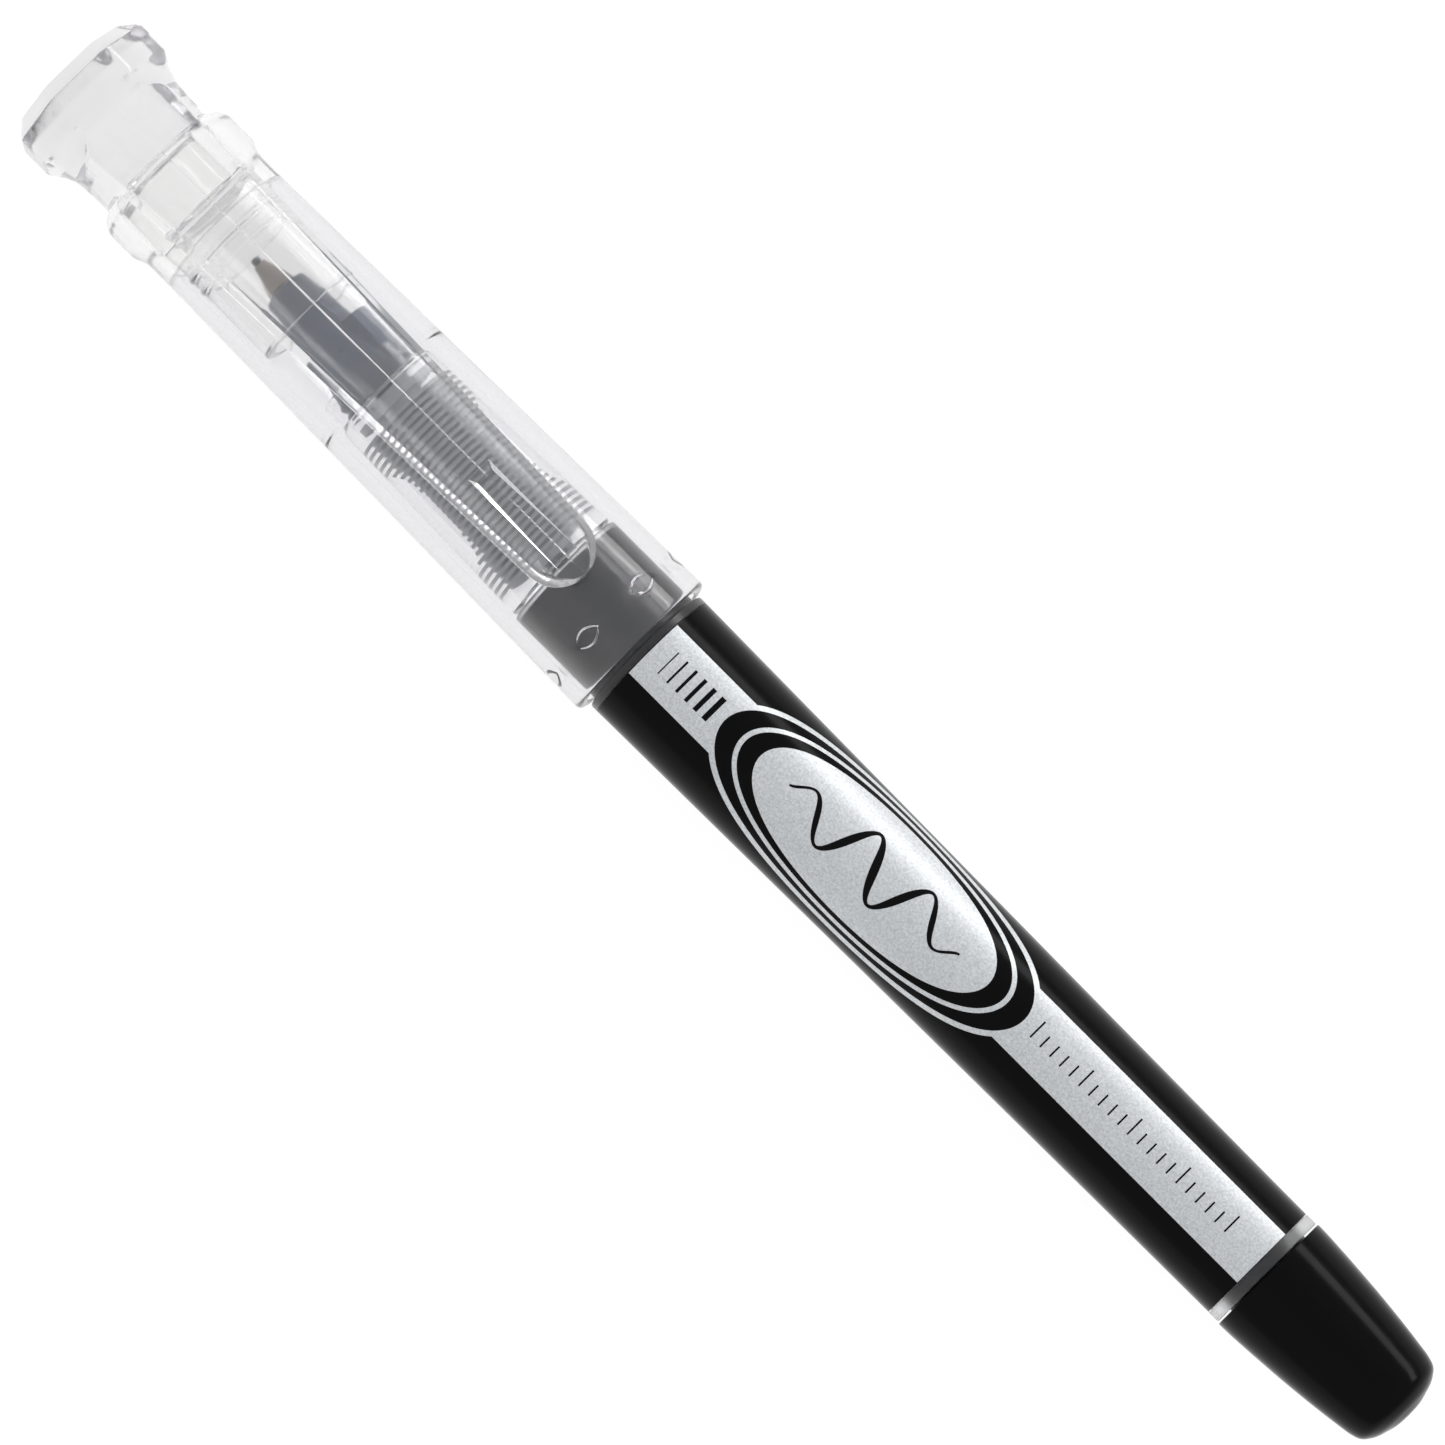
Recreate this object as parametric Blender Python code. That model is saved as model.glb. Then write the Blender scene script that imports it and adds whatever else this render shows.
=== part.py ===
"""Capped fine-point ink pen with a clear cap, built as an assembly of its separate pieces.

The pen lies along X with its crown at -X and its end plug at +X, the clip on top (+Z).
Stations are distances in millimetres from the crown's end face; radii are in millimetres
about the pen's axis. The scene is in metres, with Z = 0 where the cap's mouth rests.
"""

import math

import bmesh
import bpy
from mathutils import Matrix, Vector

MM = 0.001

# Driving dimensions, in millimetres
LENGTH = 140.0            # capped, end to end
MOUTH_RADIUS = 6.5        # widest round part: the cap's mouth
AXIS_HEIGHT = MOUTH_RADIUS
GAP = 0.3                 # between pieces that touch on the real pen
LABEL_FILM = 0.15         # label thickness, with its glue
LABEL_GAP = 0.12

# Stations along the pen, in millimetres from the crown's end face
COLLAR_FRONT = 9.3
COLLAR_REAR = 13.2
CROWN_REAR = 16.3
TUBE_FRONT = CROWN_REAR + GAP
CAP_MOUTH = 60.2
INNER_CAP_FRONT = 9.9
INNER_CAP_FLOOR = 14.3
INNER_CAP_MOUTH = 25.5
CAP_RIDGE = 32.8          # low ring inside the cap's tube
CLIP_ROOT = 13.9
CLIP_LEVEL = 22.0         # the clip's top runs level from here on
CLIP_TIP = 54.2
PAD_FRONT = 43.1          # the wedge under the clip that presses on the tube
PAD_REAR = 52.7
POINT_TIP = 19.4
SLEEVE_FRONT = 20.0
NOSE_FRONT = 22.6
NOSE_REAR = 33.4
SECTION_FRONT = 31.1
SECTION_STEP = 33.3
SECTION_REAR = 51.9
FIN_FIRST = 35.5
FIN_PITCH = 0.565
FIN_COUNT = 27
WIDE_FINS = 5             # the last fins, which nearly fill the section
BARREL_FRONT = SECTION_REAR + GAP
BARREL_STEP = CAP_MOUTH + 0.4
LABEL_FRONT = 61.3
LABEL_REAR = 124.3
BARREL_REAR = 125.3
PLUG_FRONT = BARREL_REAR + GAP
PLUG_SPIGOT = 120.0

# Radii, in millimetres
CROWN_FLARE = 6.2         # half the width across the crown's flats
CROWN_FLAT = 2.8          # half the width of one flat
CROWN_CHAMFER = 1.1
CROWN_NECK = 5.15
COLLAR_RADIUS = 6.25
COLLAR_SWEEP = 2.3        # how far the collar's rear edge leans back at the clip
CLIP_THICKNESS = 1.5
CLIP_DRAFT = 0.65         # each side leans in by this over the clip's thickness
CLIP_TOP = 8.55           # above the axis, along the clip's level stretch
CLIP_TIP_HALF_WIDTH = 2.95
CLIP_WIDENING = 0.0283    # gain in half width per millimetre towards the root
PAD_DEPTH = 0.55
PAD_HALF_WIDTH = 1.07
PAD_SLOPE = 0.7           # the pad's sides close in by this share of its depth
TUBE_FRONT_RADIUS = 5.8
TUBE_WALL = 1.0
INNER_CAP_FRONT_RADIUS = 4.4
INNER_CAP_MOUTH_RADIUS = 4.45
INNER_CAP_WALL = 0.6
NECK_RADIUS = 5.1
NECK_BORE = 4.1
BARREL_FRONT_RADIUS = 5.67
BARREL_REAR_RADIUS = 5.07
BARREL_TAPER_POWER = 1.2
BARREL_WALL = 0.95
FIN_RADIUS = 3.5
WIDE_FIN_RADIUS = 3.9
CORE_BORE = 1.25
FEED_RADIUS = 0.9

ROUND = 48                # facets around the large turned pieces
SMALL_ROUND = 24
FIN_ROUND = 14
CROWN_ROUND = 32

CLEAR = (0.90, 0.91, 0.92)
MATERIALS = {
    "cap_clear": {"color": CLEAR, "alpha": 0.35, "roughness": 0.08, "metallic": 0.0},
    "inner_clear": {"color": (0.86, 0.87, 0.87), "alpha": 0.45, "roughness": 0.15, "metallic": 0.0},
    "section_clear": {"color": (0.86, 0.87, 0.88), "alpha": 0.35, "roughness": 0.1, "metallic": 0.0},
    "barrel_clear": {"color": (0.80, 0.82, 0.84), "alpha": 0.4, "roughness": 0.08, "metallic": 0.0},
    "nose_dark": {"color": (0.055, 0.065, 0.085), "alpha": 1.0, "roughness": 0.35, "metallic": 0.0},
    "point_dark": {"color": (0.03, 0.03, 0.035), "alpha": 1.0, "roughness": 0.6, "metallic": 0.0},
    "sleeve_beige": {"color": (0.62, 0.52, 0.43), "alpha": 1.0, "roughness": 0.4, "metallic": 0.0},
    "collector_grey": {"color": (0.42, 0.43, 0.46), "alpha": 1.0, "roughness": 0.45, "metallic": 0.0},
    "feed_fibre": {"color": (0.25, 0.25, 0.27), "alpha": 1.0, "roughness": 0.9, "metallic": 0.0},
    "ink_black": {"color": (0.01, 0.01, 0.014), "alpha": 1.0, "roughness": 0.05, "metallic": 0.0},
    "label_print": {"color": (0.008, 0.008, 0.008), "alpha": 1.0, "roughness": 0.3, "metallic": 0.0},
    "plug_black": {"color": (0.012, 0.012, 0.012), "alpha": 1.0, "roughness": 0.2, "metallic": 0.0},
}


def clear_scene():
    for item in list(bpy.data.objects):
        bpy.data.objects.remove(item, do_unlink=True)


def make_material(name):
    look = MATERIALS[name]
    material = bpy.data.materials.new(name)
    material.use_nodes = True
    shader = material.node_tree.nodes["Principled BSDF"]
    shader.inputs["Base Color"].default_value = (*look["color"], 1.0)
    shader.inputs["Alpha"].default_value = look["alpha"]
    shader.inputs["Roughness"].default_value = look["roughness"]
    shader.inputs["Metallic"].default_value = look["metallic"]
    return material


def to_world(station, across, above):
    """A point from its station, its offset in Y and its height above the axis, all in mm."""
    return Vector((station - LENGTH / 2, across, above + AXIS_HEIGHT)) * MM


def finish_object(name, mesh_builder, material, crease_degrees=35):
    bmesh.ops.recalc_face_normals(mesh_builder, faces=mesh_builder.faces)
    mesh = bpy.data.meshes.new(name)
    mesh_builder.to_mesh(mesh)
    mesh_builder.free()
    mesh.shade_smooth()
    mesh.set_sharp_from_angle(angle=math.radians(crease_degrees))
    item = bpy.data.objects.new(name, mesh)
    bpy.context.collection.objects.link(item)
    item.data.materials.append(make_material(material))
    return item


def bridge_rings(builder, rings, closed):
    """Joins rings of vertices, or single pole vertices, into a skin of faces."""
    pairs = list(zip(rings, rings[1:]))
    if closed:
        pairs.append((rings[-1], rings[0]))
    for first, second in pairs:
        count = max(len(first), len(second))
        for index in range(count):
            following = (index + 1) % count
            corners = [first[index % len(first)]]
            if len(first) > 1:
                corners.append(first[following])
            if len(second) > 1:
                corners.append(second[following])
            corners.append(second[index % len(second)])
            builder.faces.new(corners)


def turned(name, outline, material, facets=ROUND, crease_degrees=35):
    """Turns an outline of (station, radius) about the pen's axis into a closed solid.

    An outline that starts and ends on the axis makes a solid piece, any other a tube.
    """
    builder = bmesh.new()
    rings = []
    for station, radius in outline:
        if radius == 0:
            rings.append([builder.verts.new(to_world(station, 0, 0))])
            continue
        ring = []
        for index in range(facets):
            angle = 2 * math.pi * index / facets
            ring.append(builder.verts.new(
                to_world(station, radius * math.sin(angle), radius * math.cos(angle))))
        rings.append(ring)
    solid_on_axis = outline[0][1] == 0 and outline[-1][1] == 0
    bridge_rings(builder, rings, closed=not solid_on_axis)
    return finish_object(name, builder, material, crease_degrees)


def lofted(name, sections, material, crease_degrees=30):
    """Skins equal rings of (station, across, above) points and caps both ends."""
    builder = bmesh.new()
    rings = [[builder.verts.new(to_world(*point)) for point in section] for section in sections]
    bridge_rings(builder, rings, closed=False)
    builder.faces.new(rings[0])
    builder.faces.new(rings[-1])
    return finish_object(name, builder, material, crease_degrees)


def combine(target, tool, operation):
    """Unites the target with a tool piece, or cuts it, and removes the tool."""
    modifier = target.modifiers.new(operation.lower(), "BOOLEAN")
    modifier.operation = operation
    modifier.solver = "EXACT"
    modifier.object = tool
    bpy.context.view_layer.update()
    evaluated = target.evaluated_get(bpy.context.evaluated_depsgraph_get())
    result = bpy.data.meshes.new_from_object(evaluated)
    target.modifiers.clear()
    target.data = result
    bpy.data.objects.remove(tool, do_unlink=True)


def blend_value(low, high, share):
    return low + (high - low) * share


def tube_radius(station):
    """Outer radius of the cap's tube, a slight taper out to its mouth."""
    share = (station - TUBE_FRONT) / (CAP_MOUTH - TUBE_FRONT)
    return blend_value(TUBE_FRONT_RADIUS, MOUTH_RADIUS, share)


def barrel_radius(station):
    """Outer radius of the labelled barrel, which tapers more near the cap than at the plug."""
    share = (LABEL_REAR - station) / (LABEL_REAR - LABEL_FRONT)
    rise = (BARREL_FRONT_RADIUS - BARREL_REAR_RADIUS) * max(share, 0.0) ** BARREL_TAPER_POWER
    return BARREL_REAR_RADIUS + rise


def label_stations(count=10):
    return [blend_value(LABEL_FRONT, LABEL_REAR, index / count) for index in range(count + 1)]


def flats_radius(angle, half_width, half_flat):
    """Polar radius of a square with its corners cut off at 45 degrees."""
    across = abs(math.sin(angle))
    above = abs(math.cos(angle))
    side = half_width / max(across, above)
    corner = (half_width + half_flat) / (across + above)
    return min(side, corner)


def crown_section(station, half_width, squareness, sweep=0.0):
    """One ring of the crown: round at squareness 0, eight-sided at 1, leaning back at its top."""
    half_flat = half_width * CROWN_FLAT / CROWN_FLARE
    ring = []
    for index in range(CROWN_ROUND):
        angle = 2 * math.pi * (index + 0.5) / CROWN_ROUND
        flats = flats_radius(angle, half_width, half_flat)
        radius = blend_value(half_width, flats, squareness)
        lean = sweep * max(math.cos(angle), 0.0) ** 1.5
        ring.append((station + lean, radius * math.sin(angle), radius * math.cos(angle)))
    return ring


def make_crown():
    """Eight-sided flared end, round neck, swept collar and the clip's root, bored for the inner cap."""
    flare = [
        (0.0, CROWN_FLARE - CROWN_CHAMFER, 1.0),
        (CROWN_CHAMFER, CROWN_FLARE, 1.0),
        (3.7, CROWN_FLARE, 1.0),
        (4.6, blend_value(CROWN_NECK, CROWN_FLARE, 0.45), 0.6),
        (5.8, CROWN_NECK + 0.1, 0.2),
        (7.4, CROWN_NECK, 0.0),
    ]
    collar = [
        (COLLAR_FRONT, CROWN_NECK, 0.0),
        (COLLAR_FRONT + 0.3, COLLAR_RADIUS - 0.4, 0.0),
        (COLLAR_FRONT + 0.9, COLLAR_RADIUS, 0.0),
        (COLLAR_REAR - 0.3, COLLAR_RADIUS, 0.0, COLLAR_SWEEP - 0.2),
        (COLLAR_REAR + 0.6, TUBE_FRONT_RADIUS + 0.02, 0.0, COLLAR_SWEEP),
        (CROWN_REAR, TUBE_FRONT_RADIUS, 0.0),
    ]
    sections = [crown_section(*ring) for ring in flare + collar]
    crown = lofted("crown", sections, "cap_clear")
    buried = 1.5
    root_top = CLIP_TOP - 0.5
    root = [
        clip_section(4.6, 3.2, buried, root_top - 2.4),
        clip_section(6.5, 4.3, buried, root_top - 1.4),
        clip_section(9.5, 4.4, buried, root_top - 0.5),
        clip_section(CLIP_ROOT - GAP, clip_half_width(CLIP_ROOT), buried, root_top),
    ]
    combine(crown, lofted("root_tool", root, "cap_clear"), "UNION")
    bore_radius = INNER_CAP_FRONT_RADIUS + GAP
    bore_front = INNER_CAP_FRONT - GAP
    bore = [
        (bore_front, 0),
        (bore_front, bore_radius),
        (CROWN_REAR + 1.0, bore_radius + 0.1),
        (CROWN_REAR + 1.0, 0),
    ]
    combine(crown, turned("bore_tool", bore, "cap_clear", facets=CROWN_ROUND), "DIFFERENCE")
    return crown


def make_detent(index, count=6, half_length=0.75, half_width=1.25, height=0.25):
    """One lens-shaped bump inside the cap's mouth, spaced evenly either side of the clip."""
    station = CAP_MOUTH - 2.9
    angle = 2 * math.pi * (index + 0.5) / count
    wall_radius = tube_radius(station) - TUBE_WALL
    builder = bmesh.new()
    bmesh.ops.create_icosphere(builder, subdivisions=1, radius=1.0)
    bmesh.ops.scale(builder, vec=Vector((half_length, half_width, height * 2)) * MM, verts=builder.verts)
    turn = Matrix.Rotation(-angle, 4, "X")
    place = Matrix.Translation(to_world(
        station, (wall_radius + height) * math.sin(angle), (wall_radius + height) * math.cos(angle)))
    bmesh.ops.transform(builder, matrix=place @ turn, verts=builder.verts)
    return finish_object(f"detent_tool_{index}", builder, "cap_clear")


def make_cap_tube():
    """Clear tapered tube with a rounded mouth, a low inner ring and six small inner bumps."""
    ridge_radius = tube_radius(CAP_RIDGE) - TUBE_WALL
    outline = [
        (TUBE_FRONT, TUBE_FRONT_RADIUS),
        (blend_value(TUBE_FRONT, CAP_MOUTH, 0.5), tube_radius(blend_value(TUBE_FRONT, CAP_MOUTH, 0.5))),
        (CAP_MOUTH - 0.35, MOUTH_RADIUS),
        (CAP_MOUTH, MOUTH_RADIUS - 0.3),
        (CAP_MOUTH, MOUTH_RADIUS - TUBE_WALL + 0.25),
        (CAP_MOUTH - 0.3, MOUTH_RADIUS - TUBE_WALL),
        (CAP_RIDGE + 0.3, ridge_radius),
        (CAP_RIDGE + 0.2, ridge_radius - 0.22),
        (CAP_RIDGE - 0.2, ridge_radius - 0.22),
        (CAP_RIDGE - 0.3, ridge_radius),
        (TUBE_FRONT, TUBE_FRONT_RADIUS - TUBE_WALL + 0.05),
    ]
    tube = turned("cap_tube", outline, "cap_clear")
    for index in range(6):
        combine(tube, make_detent(index), "UNION")
    return tube


def clip_section(station, half_width, bottom, top):
    """One ring of the clip: a flat bar whose two sides lean in towards its top."""
    lean = min(CLIP_DRAFT, half_width * 0.4)
    return [
        (station, -half_width, bottom + 0.3),
        (station, -half_width + lean, top - 0.1),
        (station, -half_width + lean + 0.1, top),
        (station, half_width - lean - 0.1, top),
        (station, half_width - lean, top - 0.1),
        (station, half_width, bottom + 0.3),
        (station, half_width - 0.15, bottom),
        (station, -half_width + 0.15, bottom),
    ]


def clip_half_width(station):
    """Half the clip's width: a long taper with a round end."""
    straight = CLIP_TIP_HALF_WIDTH + CLIP_WIDENING * (CLIP_TIP - 2.0 - station)
    from_tip = CLIP_TIP - station
    if from_tip >= straight:
        return straight
    return math.sqrt(max(straight ** 2 - (straight - from_tip) ** 2, 0.25))


def pad_section(station, depth):
    """One ring of the clip's pad, whose sides slope in towards the pressing face."""
    base = CLIP_TOP - CLIP_THICKNESS
    narrow = PAD_HALF_WIDTH - PAD_SLOPE * depth
    return [
        (station, -PAD_HALF_WIDTH, base + 0.5),
        (station, PAD_HALF_WIDTH, base + 0.5),
        (station, PAD_HALF_WIDTH, base),
        (station, narrow, base - depth),
        (station, -narrow, base - depth),
        (station, -PAD_HALF_WIDTH, base),
    ]


def make_clip():
    """Clear sprung clip: a tapered bar above the cap, with a pressing wedge under its free end."""
    turns = [math.radians(turn) for turn in (0, 25, 45, 62, 76, 90)]
    round_end = [CLIP_TIP - CLIP_TIP_HALF_WIDTH * (1 - math.sin(turn)) for turn in turns]
    sections = []
    for station in [CLIP_ROOT, CLIP_LEVEL, 32.0, 41.0] + round_end:
        climb = max(CLIP_LEVEL - station, 0.0) / (CLIP_LEVEL - CLIP_ROOT)
        top = CLIP_TOP - 0.45 * climb
        sections.append(clip_section(station, clip_half_width(station), top - CLIP_THICKNESS, top))
    clip = lofted("clip", sections, "cap_clear")
    pad_sections = [
        pad_section(PAD_FRONT, 0.03),
        pad_section(PAD_FRONT + 0.5, PAD_DEPTH),
        pad_section(PAD_REAR, 0.03),
    ]
    combine(clip, lofted("pad_tool", pad_sections, "cap_clear"), "UNION")
    return clip


def make_inner_cap():
    """Clear sealing cap inside the crown and tube, closed at the front, with a lip round the nose."""
    outline = [
        (INNER_CAP_FRONT, 0),
        (INNER_CAP_FRONT, INNER_CAP_FRONT_RADIUS - 0.4),
        (INNER_CAP_FRONT + 0.4, INNER_CAP_FRONT_RADIUS),
        (INNER_CAP_MOUTH, INNER_CAP_MOUTH_RADIUS),
        (INNER_CAP_MOUTH, INNER_CAP_MOUTH_RADIUS - INNER_CAP_WALL - 0.5),
        (INNER_CAP_MOUTH - 0.6, INNER_CAP_MOUTH_RADIUS - INNER_CAP_WALL),
        (INNER_CAP_FLOOR, INNER_CAP_FRONT_RADIUS - INNER_CAP_WALL - 0.2),
        (INNER_CAP_FLOOR, 0),
    ]
    return turned("inner_cap", outline, "inner_clear")


def make_writing_point():
    """Fine dark point with a thin stem held in the tip sleeve."""
    outline = [
        (POINT_TIP, 0),
        (POINT_TIP, 0.2),
        (POINT_TIP + 0.15, 0.33),
        (SLEEVE_FRONT - 0.1, 0.33),
        (SLEEVE_FRONT - 0.1, 0.22),
        (24.4, 0.22),
        (24.4, 0),
    ]
    return turned("writing_point", outline, "point_dark", facets=12)


def make_tip_sleeve():
    """Tapered sleeve that carries the writing point, with its shank inside the nose."""
    outline = [
        (SLEEVE_FRONT, 0.52),
        (SLEEVE_FRONT + 0.5, 0.62),
        (NOSE_FRONT - 0.2, 1.28),
        (NOSE_FRONT - 0.1, 1.1),
        (24.6, 1.1),
        (24.6, 0.4),
        (SLEEVE_FRONT, 0.4),
    ]
    return turned("tip_sleeve", outline, "sleeve_beige", facets=SMALL_ROUND)


def make_nose_cone():
    """Dark nose that widens back into the front of the section."""
    outline = [
        (NOSE_FRONT, 1.75),
        (NOSE_FRONT + 0.25, 1.95),
        (26.0, 2.3),
        (29.5, 2.7),
        (NOSE_REAR - 0.6, 3.4),
        (NOSE_REAR, 3.4),
        (NOSE_REAR, CORE_BORE),
        (25.4, CORE_BORE),
        (25.4, 1.4),
        (NOSE_FRONT, 1.4),
    ]
    return turned("nose_cone", outline, "nose_dark", facets=32)


def make_feed_rod():
    """Fibre rod that draws ink from the reservoir through the collector to the point."""
    outline = [(25.0, 0), (25.0, 0.5), (26.0, FEED_RADIUS), (52.1, FEED_RADIUS), (52.1, 0)]
    return turned("feed_rod", outline, "feed_fibre", facets=12)


def make_collector():
    """Comb of thin fins on a hollow core, which takes up spare ink, with a disc at its front."""
    core = 2.0
    front = NOSE_REAR + GAP
    disc = FIN_FIRST - 1.2
    disc_radius = FIN_RADIUS - 0.05
    outline = [
        (front, CORE_BORE),
        (front, core),
        (disc, core),
        (disc, disc_radius),
        (disc + 0.6, disc_radius),
        (disc + 0.6, core),
    ]
    for index in range(FIN_COUNT):
        start = FIN_FIRST + index * FIN_PITCH
        fin_radius = WIDE_FIN_RADIUS if index >= FIN_COUNT - WIDE_FINS else FIN_RADIUS
        fin_width = FIN_PITCH * 0.5
        outline += [
            (start, core),
            (start, fin_radius),
            (start + fin_width, fin_radius),
            (start + fin_width, core),
        ]
    last = FIN_FIRST + FIN_COUNT * FIN_PITCH
    outline += [(last + 0.3, core), (last + 0.3, CORE_BORE)]
    return turned("collector", outline, "collector_grey", facets=FIN_ROUND, crease_degrees=40)


def make_section_tube():
    """Clear grip section round the collector, its front end over the back of the nose."""
    outline = [
        (SECTION_FRONT, 4.05),
        (SECTION_FRONT + 0.2, 4.15),
        (SECTION_STEP, 4.2),
        (SECTION_STEP + 0.3, 4.45),
        (SECTION_REAR, 4.95),
        (SECTION_REAR, 4.2),
        (SECTION_STEP, 3.75),
        (SECTION_FRONT, 3.7),
    ]
    return turned("section_tube", outline, "section_clear")


def make_barrel_tube():
    """Clear reservoir barrel: a neck inside the cap, a label recess and a bare ring at each end."""
    recess = LABEL_FILM + LABEL_GAP
    outline = [
        (BARREL_FRONT, NECK_RADIUS - 0.1),
        (BARREL_FRONT + 0.2, NECK_RADIUS),
        (BARREL_STEP, NECK_RADIUS),
        (BARREL_STEP, BARREL_FRONT_RADIUS),
        (LABEL_FRONT - GAP, BARREL_FRONT_RADIUS),
        (LABEL_FRONT - GAP, BARREL_FRONT_RADIUS - recess),
    ]
    outline += [(station, barrel_radius(station) - recess) for station in label_stations()]
    outline += [
        (LABEL_REAR + GAP, BARREL_REAR_RADIUS - recess),
        (LABEL_REAR + GAP, BARREL_REAR_RADIUS),
        (BARREL_REAR, BARREL_REAR_RADIUS),
        (BARREL_REAR, BARREL_REAR_RADIUS - BARREL_WALL),
        (BARREL_STEP + 2.0, BARREL_FRONT_RADIUS - BARREL_WALL),
        (BARREL_STEP, NECK_BORE),
        (BARREL_FRONT, NECK_BORE),
    ]
    return turned("barrel_tube", outline, "barrel_clear")


def make_ink_charge():
    """The ink that fills the neck and the barrel in front of the end plug."""
    rear = PLUG_SPIGOT - GAP
    outline = [
        (BARREL_FRONT + GAP, 0),
        (BARREL_FRONT + GAP, NECK_BORE - GAP),
        (BARREL_STEP, NECK_BORE - GAP),
        (BARREL_STEP + 2.0, BARREL_FRONT_RADIUS - BARREL_WALL - GAP - 0.1),
        (rear, BARREL_REAR_RADIUS - BARREL_WALL - GAP),
        (rear, 0),
    ]
    return turned("ink_charge", outline, "ink_black", facets=SMALL_ROUND)


def make_label_sleeve():
    """Thin printed sleeve in the barrel's recess."""
    stations = label_stations()
    outline = [(station, barrel_radius(station)) for station in stations]
    outline += [(station, barrel_radius(station) - LABEL_FILM) for station in reversed(stations)]
    return turned("label_sleeve", outline, "label_print")


def make_end_plug():
    """Black tapered end plug with a low domed end and a spigot inside the barrel."""
    spigot = BARREL_REAR_RADIUS - BARREL_WALL - GAP
    outline = [
        (PLUG_SPIGOT, 0),
        (PLUG_SPIGOT, spigot - 0.3),
        (PLUG_SPIGOT + 0.5, spigot),
        (PLUG_FRONT, spigot),
        (PLUG_FRONT, 5.17),
        (126.6, 5.14),
        (129.0, 5.0),
        (132.0, 4.78),
        (135.0, 4.47),
        (137.9, 4.08),
        (138.6, 3.85),
        (139.2, 3.3),
        (139.7, 2.2),
        (LENGTH - 0.04, 1.1),
        (LENGTH, 0),
    ]
    return turned("end_plug", outline, "plug_black")


def make_bodies(pieces):
    """Parents the sliding cap and the bending clip to empties on their joint axes."""
    cap_axis = bpy.data.objects.new("cap_axis", None)
    cap_axis.location = to_world(CAP_MOUTH, 0, 0)
    clip_axis = bpy.data.objects.new("clip_axis", None)
    clip_axis.location = to_world(CLIP_ROOT, 0, CLIP_TOP - CLIP_THICKNESS)
    for empty in (cap_axis, clip_axis):
        bpy.context.collection.objects.link(empty)
    clip_axis.parent = cap_axis
    clip_axis.matrix_parent_inverse = Matrix.Translation(-cap_axis.location)
    holders = {"cap_tube": cap_axis, "crown": cap_axis, "inner_cap": cap_axis, "clip": clip_axis}
    bpy.context.view_layer.update()
    for piece in pieces:
        holder = holders.get(piece.name)
        if holder:
            piece.parent = holder
            piece.matrix_parent_inverse = holder.matrix_world.inverted()


def main():
    clear_scene()
    pieces = [
        make_crown(),
        make_clip(),
        make_cap_tube(),
        make_inner_cap(),
        make_writing_point(),
        make_tip_sleeve(),
        make_nose_cone(),
        make_feed_rod(),
        make_collector(),
        make_section_tube(),
        make_barrel_tube(),
        make_ink_charge(),
        make_label_sleeve(),
        make_end_plug(),
    ]
    make_bodies(pieces)


main()
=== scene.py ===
"""Looks of the capped fine-point ink pen: clear plastic, ink, printed label, light and camera."""

import math

import bmesh
import bpy
import numpy as np
from mathutils import Matrix, Vector


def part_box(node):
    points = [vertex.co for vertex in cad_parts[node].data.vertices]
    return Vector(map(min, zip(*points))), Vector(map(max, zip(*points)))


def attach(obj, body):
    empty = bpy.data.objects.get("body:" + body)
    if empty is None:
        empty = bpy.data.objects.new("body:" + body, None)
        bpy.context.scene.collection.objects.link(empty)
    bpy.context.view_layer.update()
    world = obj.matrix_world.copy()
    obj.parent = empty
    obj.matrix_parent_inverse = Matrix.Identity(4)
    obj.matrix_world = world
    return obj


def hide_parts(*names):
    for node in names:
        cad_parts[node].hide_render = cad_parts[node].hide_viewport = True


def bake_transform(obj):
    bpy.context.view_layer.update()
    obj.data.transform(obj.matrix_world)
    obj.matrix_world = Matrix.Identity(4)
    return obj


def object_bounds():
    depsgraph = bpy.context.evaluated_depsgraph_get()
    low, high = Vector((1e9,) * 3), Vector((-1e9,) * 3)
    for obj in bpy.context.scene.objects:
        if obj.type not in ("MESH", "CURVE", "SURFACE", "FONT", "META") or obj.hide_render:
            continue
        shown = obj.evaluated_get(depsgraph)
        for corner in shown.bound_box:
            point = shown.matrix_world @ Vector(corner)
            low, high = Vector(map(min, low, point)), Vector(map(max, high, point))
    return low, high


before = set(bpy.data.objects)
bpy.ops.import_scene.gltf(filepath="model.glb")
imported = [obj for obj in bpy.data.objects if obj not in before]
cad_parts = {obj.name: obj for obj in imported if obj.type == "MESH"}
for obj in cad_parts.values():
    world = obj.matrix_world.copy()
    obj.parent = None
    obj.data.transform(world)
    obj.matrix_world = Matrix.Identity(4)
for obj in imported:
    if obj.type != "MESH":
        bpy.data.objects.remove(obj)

cad_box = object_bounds()

# The pen's own measures, in millimetres. Stations run along the pen from the crown's end.
MM = 0.001
CROWN_X = cad_box[0].x
LENGTH = (cad_box[1].x - cad_box[0].x) / MM
AXIS_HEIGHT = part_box("end_plug")[0].z / MM / 2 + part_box("end_plug")[1].z / MM / 2
MOUTH_RADIUS = AXIS_HEIGHT


def station_of(node, end):
    """Where a CAD node starts (end 0) or stops (end 1) along the pen."""
    return (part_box(node)[end].x - CROWN_X) / MM


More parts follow.
